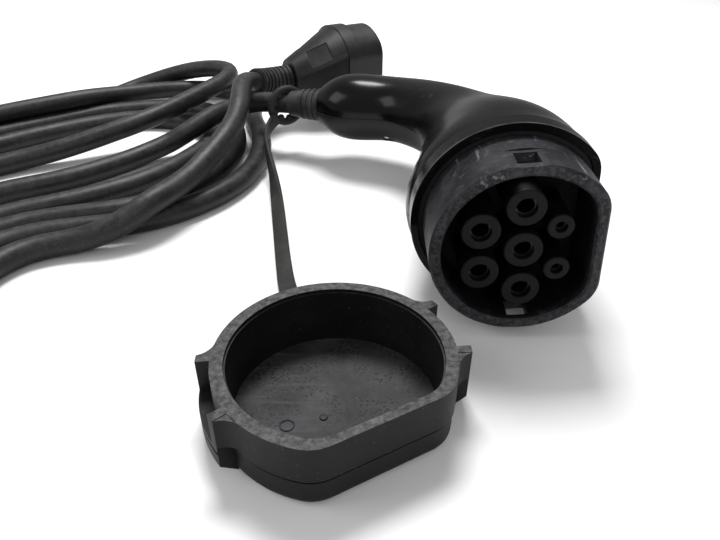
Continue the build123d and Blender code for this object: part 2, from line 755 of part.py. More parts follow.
def plug_insert():
    """Plate that carries the pins: the back of the collar and the spigot behind it."""
    body = plug_bar(PLUG_COLLAR_RADIUS, PLUG_COLLAR_FLAT, -collar_half, well_bottom)
    spigot_radius = PLUG_SHOULDER_RADIUS - PLUG_WALL * 2.5
    spigot_flat = PLUG_SHOULDER_FLAT - PLUG_WALL * 2.5
    body += plug_bar(spigot_radius, spigot_flat, -collar_half - 2, -collar_half)
    for name in LAYOUT:
        root = (SIGNAL_BORE if name in SIGNALS else POWER_BORE) + PIN_SHOULDER
        body -= plug_rod(name, root, -collar_half - 2, well_bottom)
    return body


def plug_pins(names):
    """Solid round pins with a domed tip and a thicker root, seated in the insert."""
    group = []
    for name in names:
        radius = SIGNAL_BORE if name in SIGNALS else POWER_BORE
        pin = plug_rod(name, radius, well_bottom, plug_front - PIN_SETBACK)
        tip = pin.faces().sort_by(Axis.Z)[-1]
        pin = fillet(tip.edges(), radius * PIN_DOME)
        root = plug_rod(name, radius + PIN_SHOULDER, -collar_half - PIN_ROOT, well_bottom)
        group.append(pin + root)
    return Compound(group)


def grip_recess(edge):
    """Cutter for the shallow finger recess on one shoulder of the plug's body."""
    turn = math.radians(RECESS_ANGLE)
    widening = (PLUG_SHOULDER_RADIUS - PLUG_TAIL_RADIUS) / PLUG_BODY_LENGTH
    reach = PLUG_TAIL_RADIUS + widening * (RECESS_PLACE - plug_tail) - RECESS_DEPTH
    outward = Vector(edge * math.cos(turn), -math.sin(turn), -widening).normalized()
    along = Vector(edge * widening * math.cos(turn), -widening * math.sin(turn), 1)
    middle = (edge * reach * math.cos(turn), -reach * math.sin(turn), RECESS_PLACE)
    plane = Plane(origin=middle, x_dir=along.normalized(), z_dir=outward)
    return extrude(plane * Rectangle(RECESS_LENGTH, RECESS_WIDTH), RECESS_DEPTH * 4)


def plug_half(side):
    shell = plug_cone(0) - plug_cone(PLUG_WALL)
    throat_end = plug_tail + 2 * PLUG_WALL
    shell += extrude(Pos(0, 0, plug_tail) * Circle(PLUG_TAIL_RADIUS - 1), PLUG_WALL)
    throat = Pos(0, 0, plug_tail - 1) * Circle(CABLE_RADIUS + FIT_GAP)
    shell -= extrude(throat, throat_end - plug_tail + 1)
    if side == 1:
        for edge in (1, -1):
            shell -= grip_recess(edge)
    size = 4 * PLUG_COLLAR_RADIUS
    block = Pos(0, -side * (size + PARTING_GAP) / 2, 0) * Box(size, size, 2 * size)
    return shell & block


def sleeve_plane(distance):
    """Plane across the plug's bent sleeve, distance behind the body, facing the cable."""
    turn = distance / SLEEVE_BEND
    lean = math.radians(SLEEVE_LEAN)
    aside = SLEEVE_BEND * (1 - math.cos(turn))
    back = SLEEVE_BEND * math.sin(turn)
    origin = (aside * math.cos(lean), -aside * math.sin(lean), plug_tail - back)
    ahead = (math.sin(turn) * math.cos(lean), -math.sin(turn) * math.sin(lean), -math.cos(turn))
    return Plane(origin=origin, x_dir=(math.sin(lean), math.cos(lean), 0), z_dir=ahead)


def sleeve_ahead(distance):
    """Point straight ahead of the sleeve's end, in the plug's own frame."""
    end = sleeve_plane(PLUG_BOOT_LENGTH)
    return end.origin + end.z_dir * distance


def plug_strain_relief():
    """Ribbed rubber sleeve that bends with the cable and steps down towards it."""
    pitch = PLUG_BOOT_LENGTH / PLUG_BOOT_RIBS
    tip_radius = PLUG_BOOT_RADIUS - RIB_RISE - SLEEVE_TAPER
    faces = []
    for index in range(5):
        share = index / 4
        radius = PLUG_BOOT_RADIUS - RIB_RISE + (tip_radius - PLUG_BOOT_RADIUS + RIB_RISE) * share
        faces.append(sleeve_plane(PLUG_BOOT_LENGTH * share) * Circle(radius))
    body = loft(faces)
    for index in range(PLUG_BOOT_RIBS):
        start = pitch * (index + 0.25)
        radius = PLUG_BOOT_RADIUS - SLEEVE_TAPER * index / (PLUG_BOOT_RIBS - 1)
        body += extrude(sleeve_plane(start) * Circle(radius), pitch * RIB_SHARE)
    return body - sleeve_core(0)


def sleeve_core(into_body):
    """Round bar along the middle of the plug's sleeve, for the cable and its hole."""
    half = PLUG_BOOT_LENGTH / 2
    start = sleeve_plane(0).origin
    middle = sleeve_plane(half).origin
    end = sleeve_plane(PLUG_BOOT_LENGTH).origin
    path = ThreePointArc(start, middle, end)
    if into_body:
        path = Line((0, 0, plug_tail + into_body), start) + path
    return sweep(Plane(origin=path @ 0, z_dir=path % 0) * Circle(CABLE_RADIUS), path)


def plug_jacket_end():
    """End of the cable inside the plug and its sleeve."""
    return sleeve_core(3 * PLUG_WALL)


ALL = {}


def keep(name, shape, place=None):
    moved = shape if place is None else place * shape
    moved.label = name
    ALL[name] = moved


front = connector_place()
keep("nose_shroud", nose_shroud(), front)
keep("shroud_seal", shroud_seal(), front)
keep("contact_carrier", contact_carrier(), front)
for pole in LAYOUT:
    keep("contact_" + pole, contact(pole), front)
keep("contact_retainer", contact_retainer(), front)
keep("retainer_screws", retainer_screws(), front)
housing = handle_housing()
keep("handle_shell_upper", housing & half_space(1), front)
lower_half = (housing & half_space(-1)) + clamp_posts(handle_form(HOUSING_WALL / 2, TAIL_REACH, TAIL_RADIUS))
keep("handle_shell_lower", lower_half, front)
keep("housing_screws", housing_screws(), front)
keep("strain_relief", strain_relief(), front)
keep("cable_jacket_end", cable_jacket_end(), front)
keep("cable_clamp", cable_clamp(), front)
keep("clamp_screws", clamp_screws(), front)
keep("dust_cap", dust_cap(), cap_place())
keep("cap_tether", cap_tether())
keep("cable_coil", cable_coil())
lead_start = jacket_point(BOOT_END + JACKET_PAST_BOOT)
lead_bend = jacket_point(BOOT_END + JACKET_PAST_BOOT + LEAD_RUN)
keep("cable_lead", cable_tube("cable_lead", [lead_start, lead_bend, Vector(*LEAD_END)]))
plug = plug_place()
rear = plug.location
return_start = (rear * Pos(*sleeve_plane(PLUG_BOOT_LENGTH).origin)).position
return_bend = (rear * Pos(*sleeve_ahead(RETURN_RUN))).position
return_route = [return_start, return_bend, Vector(*RETURN_TOP), Vector(*RETURN_END)]
keep("cable_return", cable_tube("cable_return", return_route))
keep("plug_nose", plug_nose(), rear)
keep("plug_insert", plug_insert(), rear)
keep("plug_power_pins", plug_pins([pole for pole in LAYOUT if pole not in SIGNALS]), rear)
keep("plug_signal_pins", plug_pins(SIGNALS), rear)
keep("plug_housing_upper", plug_half(1), rear)
keep("plug_housing_lower", plug_half(-1), rear)
keep("plug_strain_relief", plug_strain_relief(), rear)
keep("plug_jacket_end", plug_jacket_end(), rear)

os.makedirs("parts", exist_ok=True)
for name, shape in ALL.items():
    export_step(shape, os.path.join("parts", name + ".step"))
    print(name, len(shape.solids()), round(shape.volume, 1))
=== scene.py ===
import math

import bpy
from mathutils import Matrix, Vector


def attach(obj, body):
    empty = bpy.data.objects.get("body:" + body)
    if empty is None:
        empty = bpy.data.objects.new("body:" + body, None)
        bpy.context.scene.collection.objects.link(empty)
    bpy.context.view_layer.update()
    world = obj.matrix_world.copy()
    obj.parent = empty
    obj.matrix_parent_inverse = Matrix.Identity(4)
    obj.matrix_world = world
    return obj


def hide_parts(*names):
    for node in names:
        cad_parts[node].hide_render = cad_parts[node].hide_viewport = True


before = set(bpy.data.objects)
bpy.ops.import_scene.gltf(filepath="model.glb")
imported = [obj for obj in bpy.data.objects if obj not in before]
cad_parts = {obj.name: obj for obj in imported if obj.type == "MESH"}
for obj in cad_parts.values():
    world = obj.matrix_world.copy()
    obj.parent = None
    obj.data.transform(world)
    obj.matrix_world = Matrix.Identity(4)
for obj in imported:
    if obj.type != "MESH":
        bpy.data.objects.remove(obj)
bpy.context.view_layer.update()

# Camera: held by hand about half an arm's length in front of the connector's mouth,
# looking down at the table, with the wide view of a small camera.
lens_data = bpy.data.cameras.new("camera")
lens_data.sensor_width = 36.0
lens_data.lens = 31.0
lens_data.clip_start = 0.01
camera = bpy.data.objects.new("camera", lens_data)
bpy.context.scene.collection.objects.link(camera)
camera.location = (-0.016, -0.226, 0.1443)
look_down = Matrix.Rotation(math.radians(56.22), 3, "X")
tilt_head = Matrix.Rotation(math.radians(0.35), 3, "Z")
camera.rotation_euler = (look_down @ tilt_head).to_euler()
bpy.context.scene.camera = camera
bpy.context.scene.view_settings.view_transform = "Standard"


# Nose sleeve: a D-shaped tube of black glass-filled nylon, moulded, with a window for the
# lock pin. It is grey with dust, its rim is rubbed pale, and its window edges are scratched.
# Its inner wall is painted near black, deepening behind the rim, as painted shade.
def noise_field(tree, scale, detail, stretch=(1.0, 1.0, 1.0), twist=0.0):
    """Noise in the piece's own space, drawn out where stretch is below one."""
    place = tree.nodes.new("ShaderNodeTexCoord")
    turned = tree.nodes.new("ShaderNodeMapping")
    turned.inputs["Scale"].default_value = stretch
    turned.inputs["Rotation"].default_value = (0, 0, twist)
    field = tree.nodes.new("ShaderNodeTexNoise")
    field.inputs["Scale"].default_value = scale
    field.inputs["Detail"].default_value = detail
    field.inputs["Roughness"].default_value = 0.62
    tree.links.new(place.outputs["Object"], turned.inputs["Vector"])
    tree.links.new(turned.outputs["Vector"], field.inputs["Vector"])
    return field.outputs["Fac"]


def spread(tree, value, low, high, new_low=0.0, new_high=1.0):
    """The same value with its range low to high stretched to the new range."""
    ramp = tree.nodes.new("ShaderNodeMapRange")
    ramp.inputs["From Min"].default_value = low
    ramp.inputs["From Max"].default_value = high
    ramp.inputs["To Min"].default_value = new_low
    ramp.inputs["To Max"].default_value = new_high
    tree.links.new(value, ramp.inputs["Value"])
    return ramp.outputs["Result"]


def both(tree, first, second):
    product = tree.nodes.new("ShaderNodeMath")
    product.operation = "MULTIPLY"
    tree.links.new(first, product.inputs[0])
    tree.links.new(second, product.inputs[1])
    return product.outputs["Value"]


def lay_over(finish, mask, colour):
    """Lays one more colour over the finish, as far as the mask lets it."""
    tree = finish.node_tree
    base = tree.nodes["Principled BSDF"].inputs["Base Color"]
    layer = tree.nodes.new("ShaderNodeMix")
    layer.data_type = "RGBA"
    if base.links:
        tree.links.new(base.links[0].from_socket, layer.inputs[6])
    else:
        layer.inputs[6].default_value = base.default_value
    tree.links.new(mask, layer.inputs[0])
    layer.inputs[7].default_value = (*colour, 1)
    tree.links.new(layer.outputs[2], base)


def coordinate(tree, axis):
    place = tree.nodes.new("ShaderNodeTexCoord")
    split = tree.nodes.new("ShaderNodeSeparateXYZ")
    tree.links.new(place.outputs["Object"], split.inputs["Vector"])
    return split.outputs[axis]


def facing_up(tree):
    """One on faces that look up, zero on the sides and below."""
    surface = tree.nodes.new("ShaderNodeNewGeometry")
    split = tree.nodes.new("ShaderNodeSeparateXYZ")
    tree.links.new(surface.outputs["Normal"], split.inputs["Vector"])
    return spread(tree, split.outputs["Z"], 0.1, 0.9)


def worn_finish(
    name, colour, dust, cover, patch, gloss, grain=0.15, soft_edge=0.0003, shine=0.2
):
    """Moulded surface: its own colour, dust in soft patches, uneven gloss, fine grain."""
    finish = bpy.data.materials.new(name)
    finish.use_nodes = True
    tree = finish.node_tree
    shader = tree.nodes["Principled BSDF"]
    shader.inputs["Base Color"].default_value = (*colour, 1)
    patches = noise_field(tree, patch, 6.0)
    lay_over(finish, spread(tree, patches, 0.42, 0.78, 0.0, cover), dust)
    rough = spread(tree, patches, 0.3, 0.7, gloss[0], gloss[1])
    tree.links.new(rough, shader.inputs["Roughness"])
    shader.inputs["Specular IOR Level"].default_value = shine
    edge = tree.nodes.new("ShaderNodeBevel")
    edge.samples = 4
    edge.inputs["Radius"].default_value = soft_edge
    relief = tree.nodes.new("ShaderNodeBump")
    relief.inputs["Strength"].default_value = grain
    relief.inputs["Distance"].default_value = 0.0002
    tree.links.new(noise_field(tree, 2600.0, 3.0), relief.inputs["Height"])
    tree.links.new(edge.outputs["Normal"], relief.inputs["Normal"])
    tree.links.new(relief.outputs["Normal"], shader.inputs["Normal"])
    return finish


def flecks(finish, scale, low, high, colour, share=1.0):
    """Small pale specks of dust or chips, fewer as low and high go up."""
    tree = finish.node_tree
    lay_over(finish, spread(tree, noise_field(tree, scale, 2.0), low, high, 0.0, share), colour)


def wear(finish, *nodes):
    """Gives CAD nodes their finish in place of the plain one."""
    for node in nodes:
        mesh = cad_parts[node].data
        mesh.materials.clear()
        mesh.materials.append(finish)


nose_plastic = worn_finish(
    "nose_plastic", (0.008, 0.0075, 0.0095), (0.040, 0.037, 0.045), 0.9, 110.0, (0.42, 0.65), 0.4
)
flecks(nose_plastic, 1500.0, 0.64, 0.76, (0.14, 0.135, 0.145), 0.5)
flecks(nose_plastic, 420.0, 0.58, 0.70, (0.075, 0.072, 0.080), 0.5)
nose_tree = nose_plastic.node_tree
RIM_FRONT = -0.0540
RIM_BACK = -0.0529
rim = spread(nose_tree, coordinate(nose_tree, "Y"), RIM_BACK, RIM_FRONT)
rubbed = spread(nose_tree, noise_field(nose_tree, 700.0, 6.0), 0.44, 0.62, 0.0, 0.9)
lay_over(nose_plastic, both(nose_tree, rim, rubbed), (0.050, 0.049, 0.052))
scratched = noise_field(nose_tree, 260.0, 3.0, (1.0, 0.12, 1.0), 0.5)
scratched = spread(nose_tree, scratched, 0.62, 0.70, 0.0, 0.9)
SCRATCHES_FROM = 0.055
SCRATCHES_FULL = 0.062
near_window = spread(nose_tree, coordinate(nose_tree, "Z"), SCRATCHES_FROM, SCRATCHES_FULL)
lay_over(nose_plastic, both(nose_tree, near_window, scratched), (0.16, 0.155, 0.165))
# Painted shade: the sleeve's inner wall, apart from its flat side, is painted near black, fading
# in from the rim towards the back.
NOSE_AXIS_X = 0.038
NOSE_AXIS_Z = 0.036
SLEEVE_INSIDE = 0.0279
SLEEVE_FLAT_X = 0.0625
place = nose_tree.nodes.new("ShaderNodeTexCoord")
flatten = nose_tree.nodes.new("ShaderNodeMapping")
flatten.inputs["Location"].default_value = (-NOSE_AXIS_X, 0, -NOSE_AXIS_Z)
flatten.inputs["Scale"].default_value = (1, 0, 1)
reach = nose_tree.nodes.new("ShaderNodeVectorMath")
reach.operation = "LENGTH"
nose_tree.links.new(place.outputs["Object"], flatten.inputs["Vector"])
nose_tree.links.new(flatten.outputs["Vector"], reach.inputs[0])
painted_shade_inside = spread(nose_tree, reach.outputs["Value"], SLEEVE_INSIDE + 0.0002, SLEEVE_INSIDE)
not_flat = spread(
    nose_tree, coordinate(nose_tree, "X"), SLEEVE_FLAT_X, SLEEVE_FLAT_X - 0.0005
)
SHADE_FROM = -0.0530
SHADE_FULL = -0.0490
behind_rim = spread(
    nose_tree, coordinate(nose_tree, "Y"), SHADE_FROM, SHADE_FULL, 0.0, 0.92
)
painted_shade_inside = both(nose_tree, both(nose_tree, painted_shade_inside, not_flat), behind_rim)
lay_over(nose_plastic, painted_shade_inside, (0.004, 0.004, 0.0045))
wear(nose_plastic, "nose_shroud")

# Shroud seal: a soft black rubber ring, pressed into the recess between the sleeve and
# the housing's lip. Only its front edge shows, deep in shadow.
seal_rubber = worn_finish(
    "seal_rubber", (0.010, 0.010, 0.010), (0.03, 0.03, 0.03), 0.5, 90.0, (0.6, 0.8)
)
wear(seal_rubber, "shroud_seal")

# Contact carrier: a plate with seven insulating turrets in black glass-filled nylon,
# slid into the sleeve from behind and screwed to its retainer plate. Its colour is painted
# near black as shade deep in the sleeve, and the turrets' front faces are painted lighter.
# Painted shade: the carrier's own colour is set near black for the shade deep in the sleeve.
carrier_plastic = worn_finish(
    "carrier_plastic", (0.003, 0.003, 0.0035), (0.010, 0.010, 0.011), 0.5, 160.0, (0.4, 0.6), 0.25,
    0.0003, 0.12
)
flecks(carrier_plastic, 1900.0, 0.72, 0.82, (0.08, 0.08, 0.08), 0.4)
carrier_tree = carrier_plastic.node_tree
TURRET_FRONT = -0.0520
TURRET_BACK = -0.0512
# The turrets' front faces are painted lighter, partly wear and partly painted light where they
# face out of the sleeve.
face = spread(carrier_tree, coordinate(carrier_tree, "Y"), TURRET_BACK, TURRET_FRONT)
face_wear_and_light = spread(carrier_tree, noise_field(carrier_tree, 500.0, 3.0), 0.3, 0.7, 0.3, 0.9)
lay_over(carrier_plastic, both(carrier_tree, face, face_wear_and_light), (0.009, 0.009, 0.010))
wear(carrier_plastic, "contact_carrier", "contact_retainer")

# Contacts: seven sockets turned from copper alloy and silver-plated, each with a bore for
# its pin and a hollow tail where the wire is crimped. The collar sits in the carrier. Their
# metal is painted dark, partly tarnish and partly painted shade of the deep bores.
def metal_finish(name, colour, gloss, tarnish_and_shade, cover):
    """Plated or bare metal with a thin uneven tarnish, which on the contacts also serves as
    painted shade.
    """
    finish = bpy.data.materials.new(name)
    finish.use_nodes = True
    tree = finish.node_tree
    shader = tree.nodes["Principled BSDF"]
    shader.inputs["Base Color"].default_value = (*colour, 1)
    shader.inputs["Metallic"].default_value = 1.0
    field = noise_field(tree, 300.0, 4.0)
    lay_over(finish, spread(tree, field, 0.4, 0.75, 0.0, cover), tarnish_and_shade)
    tree.links.new(spread(tree, field, 0.3, 0.7, *gloss), shader.inputs["Roughness"])
    return finish


# Painted shade: the contacts' metal is set dark under a heavy tarnish, partly real tarnish and
# partly the shade of the deep bores.
contact_metal = metal_finish(
    "contact_metal", (0.16, 0.15, 0.135), (0.22, 0.45), (0.03, 0.026, 0.022), 0.85
)
wear(
    contact_metal,
    "contact_n", "contact_pe", "contact_l1", "contact_l2", "contact_l3",
    "contact_cp", "contact_pp",
)

# Screws: small pan-head screws of zinc-plated steel. Five hold the retainer plate, the
# housing's own go in from below, and two more draw the clamp down on the cable.
screw_steel = metal_finish("screw_steel", (0.46, 0.46, 0.45), (0.3, 0.5), (0.2, 0.19, 0.17), 0.5)
wear(screw_steel, "retainer_screws", "housing_screws", "clamp_screws")

# Handle, upper shell: glossy black moulding with a rounded end and a bent neck. The grip
# is polished by hands, the head behind the lip is duller and scuffed, and the lip's crest
# carries a painted pale highlight.
handle_gloss = worn_finish(
    "handle_plastic", (0.0022, 0.0020, 0.0024), (0.008, 0.0075, 0.008), 0.45, 32.0, (0.15, 0.22),
    0.03, 0.0005, 0.26,
)
gloss_tree = handle_gloss.node_tree
gloss_shader = gloss_tree.nodes["Principled BSDF"]
HEAD_START = -0.004
HEAD_FULL = 0.030
head = spread(gloss_tree, coordinate(gloss_tree, "X"), HEAD_START, HEAD_FULL)
duller = gloss_tree.nodes.new("ShaderNodeMath")
duller.operation = "MULTIPLY_ADD"
gloss_tree.links.new(head, duller.inputs[0])
duller.inputs[1].default_value = 0.2
gloss_tree.links.new(gloss_shader.inputs["Roughness"].links[0].from_socket, duller.inputs[2])
gloss_tree.links.new(duller.outputs["Value"], gloss_shader.inputs["Roughness"])
gloss_tree.links.new(
    spread(gloss_tree, head, 0.0, 1.0, 0.21, 0.06), gloss_shader.inputs["Specular IOR Level"]
)
scuffs = noise_field(gloss_tree, 330.0, 4.0, (0.25, 1.0, 1.0), 0.7)
scuffs = spread(gloss_tree, scuffs, 0.60, 0.72, 0.0, 0.45)
lay_over(handle_gloss, both(gloss_tree, head, scuffs), (0.06, 0.057, 0.057))
specks = spread(gloss_tree, noise_field(gloss_tree, 1100.0, 2.0), 0.68, 0.76, 0.0, 0.6)
lay_over(handle_gloss, both(gloss_tree, head, specks), (0.10, 0.097, 0.097))
# Painted highlight: a thin pale band along the lip's crest, where the lamp above catches its
# rounded edge.
LIP_BACK = -0.0299
LIP_FRONT = -0.0308
LIP_FADE = 0.0003
lip_start = spread(gloss_tree, coordinate(gloss_tree, "Y"), LIP_BACK, LIP_BACK - LIP_FADE)
lip_end = spread(gloss_tree, coordinate(gloss_tree, "Y"), LIP_FRONT, LIP_FRONT + LIP_FADE)
lip = both(gloss_tree, lip_start, lip_end)
lip_highlight_patches = spread(gloss_tree, noise_field(gloss_tree, 150.0, 4.0), 0.35, 0.6, 0.2, 1.0)
lay_over(handle_gloss, both(gloss_tree, lip, lip_highlight_patches), (0.11, 0.108, 0.108))


JOINT_NORMAL = (-0.0785, 0.0, 0.9969)
JOINT_HEIGHT = 0.0329
SEAM_CORE = 0.0002
SEAM_EDGE = 0.0004


def seam_line(finish):
    """Dark hairline where the two shells meet, on the joint's sloping plane."""
    tree = finish.node_tree
    spot = tree.nodes.new("ShaderNodeTexCoord")
    across = tree.nodes.new("ShaderNodeVectorMath")
    across.operation = "DOT_PRODUCT"
    across.inputs[1].default_value = JOINT_NORMAL
    tree.links.new(spot.outputs["Object"], across.inputs[0])
    height = across.outputs["Value"]
    upper_side = spread(tree, height, JOINT_HEIGHT + SEAM_EDGE, JOINT_HEIGHT + SEAM_CORE)
    lower_side = spread(tree, height, JOINT_HEIGHT - SEAM_EDGE, JOINT_HEIGHT - SEAM_CORE)
    lay_over(finish, both(tree, upper_side, lower_side), (0.0008, 0.0008, 0.0008))


seam_line(handle_gloss)
wear(handle_gloss, "handle_shell_upper")

# Handle, lower shell: the same moulding with a satin grain, held to the upper shell by
# screws from below. The table side is scuffed.
handle_matte = worn_finish(
    "handle_matte", (0.010, 0.009, 0.0085), (0.024, 0.022, 0.0205), 0.6, 38.0, (0.34, 0.48), 0.2,
    0.0005, 0.22,
)
flecks(handle_matte, 900.0, 0.70, 0.80, (0.08, 0.077, 0.074), 0.4)
seam_line(handle_matte)
wear(handle_matte, "handle_shell_lower")

# Sleeve on the handle: a soft tapered rubber moulding with a few rings, gripped between
# the shells, that keeps the cable from kinking where it goes in.
sleeve_rubber = worn_finish(
    "sleeve_rubber", (0.018, 0.018, 0.0185), (0.065, 0.063, 0.065), 0.9, 120.0, (0.45, 0.65), 0.3
)
wear(sleeve_rubber, "strain_relief")

# Cable clamp: a nylon bridge inside the handle, screwed down over the cable's end.
clamp_plastic = worn_finish(
    "clamp_plastic", (0.030, 0.030, 0.032), (0.06, 0.06, 0.06), 0.4, 90.0, (0.4, 0.55)
)
wear(clamp_plastic, "cable_clamp")


# Cable: about four metres of round cable, 11 mm thick, under a dark grey rubber sheath.
# It leaves the handle's sleeve, lies in loose turns, the last of them over the others, and
# goes back to the plug. Its upper side is lighter, partly dust and partly a painted sheen.
COIL_TIP = (-91.0, 174.0)
COIL_HEADING = 226.0
FLOOR_HEIGHT = 5.6


def coil_spot(along, aside, height=FLOOR_HEIGHT):
    """Point of the cable in millimetres, from the coil's tip along and across its length."""
    turn = math.radians(COIL_HEADING)
    x = COIL_TIP[0] + along * math.cos(turn) + aside * math.sin(turn)
    y = COIL_TIP[1] + along * math.sin(turn) - aside * math.cos(turn)
    return x, y, height


CABLE_LEAD = [
    (-63.8, 117.6, 28.0),
    (-72.0, 121.0, 27.4),
    (-81.0, 123.5, 25.2),
    (-90.0, 124.0, 22.5),
    (-98.5, 121.5, 20.2),
    (-106.0, 116.0, 17.4),
    (-115.0, 108.0, 13.2),
    (-125.0, 103.8, 8.2),
]
FIRST_TURN = [
    (95, -23), (110, -24.1), (125, -23.5), (138, -21.5), (150, -18), (161, -15),
    (190, -12.5), (225, -12.5), (260, -13), (285, -12), (305, -7), (320, 4),
    (326, 17.5), (320, 31), (305, 41), (282, 46.5), (245, 48), (215, 48.5), (180, 48.5),
    (138, 48.5), (108, 46), (80, 40), (60, 30), (48, 16), (42, 0), (41, -15),
    (46, -28), (56, -37.5), (68, -43),
]
SECOND_TURN = [
    (85, -49), (100, -52), (113, -52.5), (125, -51.5), (138, -49), (151, -45.5),
    (164, -41.5), (180, -40), (205, -42), (233, -46), (265, -47), (295, -45),
    (322, -38), (344, -22), (353, 0), (352, 25), (341, 46), (322, 60), (296, 67),
    (265, 69), (230, 69), (195, 68.5), (160, 67.5), (132, 65), (112, 62.5),
    (95, 60.3), (80, 58.5), (66, 54), (50, 45), (34, 33), (24, 17), (21, 0),
    (25, -17), (31, -30), (40, -43), (50, -54), (62, -63),
]
THIRD_TURN = [
    (77, -70.5), (97, -77), (115, -77.5), (128, -74), (140, -67.5), (153, -60),
    (168, -54), (185, -52.5), (205, -57), (225, -66), (250, -72), (275, -74),
    (310, -69), (343, -57), (367, -35), (377, -8), (376, 22), (364, 46, 6.5),
    (346, 60, 10), (322, 69, 13.5), (295, 74, 14.5), (265, 76, 14.5), (230, 76, 14.5),
    (195, 75, 14.6), (160, 72.5, 14.8), (128, 69.3, 15.6), (104, 65, 16),
    (78, 61.5, 15.8), (55, 60.5, 13), (38, 58.5, 11.5), (22, 57, 9.5), (8, 53, 8),
    (-5, 45, 6.6), (-12.5, 31, 5.8), (-11, 13), (-3, -3), (11, -20),
]
FOURTH_TURN = [
    (22, -42), (38, -64), (59, -81.5), (79, -90.5), (101, -93.5), (123, -91),
    (140, -83), (155, -73), (170, -66), (185, -64.5), (205, -71), (225, -81),
    (250, -88), (285, -89), (318, -85), (352, -72), (380, -50), (394, -20),
    (396, 12), (386, 42), (369, 64), (350, 76), (325, 83), (295, 86), (265, 87),
    (230, 87), (195, 86), (160, 83), (132, 79), (112, 76), (95, 75), (75, 76.5),
    (56, 80, 5.8), (40, 82, 7.5), (26, 77, 11), (15, 67, 15.5), (5, 55.5, 19.5),
    (-3, 43.5, 21.8), (-8.5, 31, 22.5), (-3, 19, 22.4), (8, 12.5, 21.4),
    (25, 8.5, 19.8), (45, 3.5, 18.3), (66, -1, 16.8), (82, -0.5, 15), (94, 2.4, 13),
    (106, 5.6, 10.8), (123, 11.2, 8), (137, 16.5, 6.3), (152, 20), (180, 22),
    (215, 22), (245, 20, 5.7), (265, 18, 6.5), (282, 14, 12),
]
LAST_TURN = [
    (298, 6, 17), (312, -8, 17.5), (318, -27, 17), (315, -46, 17), (302, -65, 17),
    (285, -77, 17), (265, -84, 16.5), (248, -90, 16.5), (233, -94, 15), (218, -95, 12),
    (203, -90, 8), (190, -81, 5.8), (178, -78), (168, -79.5), (156, -86, 6.0),
    (146, -92.5, 9.0), (137, -95, 12), (130, -96, 15), (122, -95.5, 17), (115, -94, 17.2),
    (106, -91, 17.6), (97, -88, 18.8),
]
CABLE_RETURN = [
    (-91.0, 53.0, 21.3),
    (-86.5, 63.0, 24.3),
    (-83.0, 75.0, 27.3),
    (-81.0, 87.0, 29.8),
    (-81.0, 98.0, 32.6),
    (-82.0, 110.0, 35.0),
    (-83.2, 122.0, 36.2),
    (-82.3, 133.0, 35.4),
    (-78.65, 141.7, 32.2),
]
route = list(CABLE_LEAD)
for turn in (FIRST_TURN, SECOND_TURN, THIRD_TURN, FOURTH_TURN, LAST_TURN):
    route += [coil_spot(*spot) for spot in turn]
route += CABLE_RETURN

CABLE_THICK = 0.011
cable_line = bpy.data.curves.new("cable", "CURVE")
cable_line.dimensions = "3D"
cable_line.resolution_u = 6
cable_line.bevel_depth = CABLE_THICK / 2
cable_line.bevel_resolution = 6
strand = cable_line.splines.new("NURBS")
strand.points.add(len(route) - 1)
for point, spot in zip(strand.points, route):
    point.co = (spot[0] / 1000, spot[1] / 1000, spot[2] / 1000, 1.0)
strand.order_u = 3
strand.use_endpoint_u = True
cable = bpy.data.objects.new("cable", cable_line)
bpy.context.scene.collection.objects.link(cable)
cable_sheath = worn_finish(
    "cable_sheath", (0.007, 0.007, 0.0075), (0.026, 0.026, 0.027), 0.7, 70.0, (0.36, 0.5), 0.45,
    0.0, 0.3
)
flecks(cable_sheath, 1000.0, 0.60, 0.72, (0.10, 0.10, 0.10), 0.35)
sheath_tree = cable_sheath.node_tree
# Its upward faces are painted lighter: partly dust and partly a painted sheen from the light
# above.
dust_and_sheen_patches = spread(sheath_tree, noise_field(sheath_tree, 260.0, 6.0), 0.40, 0.62, 0.1, 0.95)
dust_and_sheen_top = both(sheath_tree, facing_up(sheath_tree), dust_and_sheen_patches)
lay_over(cable_sheath, dust_and_sheen_top, (0.038, 0.038, 0.039))
cable_line.materials.append(cable_sheath)
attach(cable, "root")
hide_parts("cable_coil", "cable_lead", "cable_return")
wear(cable_sheath, "cable_jacket_end", "plug_jacket_end")

# Cap strap: one moulding of grey rubber, a ring with small nubs that hugs the cable and a
# flat strap that drops from it, turns over on the table and runs up to the cap's wall.
RING_CENTRE = Vector((-0.0580, 0.1155, 0.0270))
RING_RADIUS = 0.0092
RING_TURN = 30.0
RING_THICK = 0.0042
NUB_PLACE = 0.0073
NUB_COUNT = 9
NUB_RADIUS = 0.0019
bpy.ops.object.select_all(action="DESELECT")
bpy.ops.mesh.primitive_torus_add(
    major_radius=RING_RADIUS, minor_radius=RING_THICK / 2, major_segments=64, minor_segments=16
)
ring = bpy.context.object
ring.name = "cap_strap"
nubs = []
for index in range(NUB_COUNT):
    turn = 2 * math.pi * index / NUB_COUNT
    bpy.ops.mesh.primitive_uv_sphere_add(
        segments=20, ring_count=12, radius=NUB_RADIUS,
        location=(NUB_PLACE * math.cos(turn), NUB_PLACE * math.sin(turn), 0),
    )
    nubs.append(bpy.context.object)
bpy.ops.object.select_all(action="DESELECT")
for part in nubs + [ring]:
    part.select_set(True)
bpy.context.view_layer.objects.active = ring
bpy.ops.object.join()
upright = Matrix.Rotation(math.radians(90.0), 4, "X")
facing = Matrix.Rotation(math.radians(RING_TURN), 4, "Z")
ring.matrix_world = Matrix.Translation(RING_CENTRE) @ facing @ upright
bpy.ops.object.transform_apply()

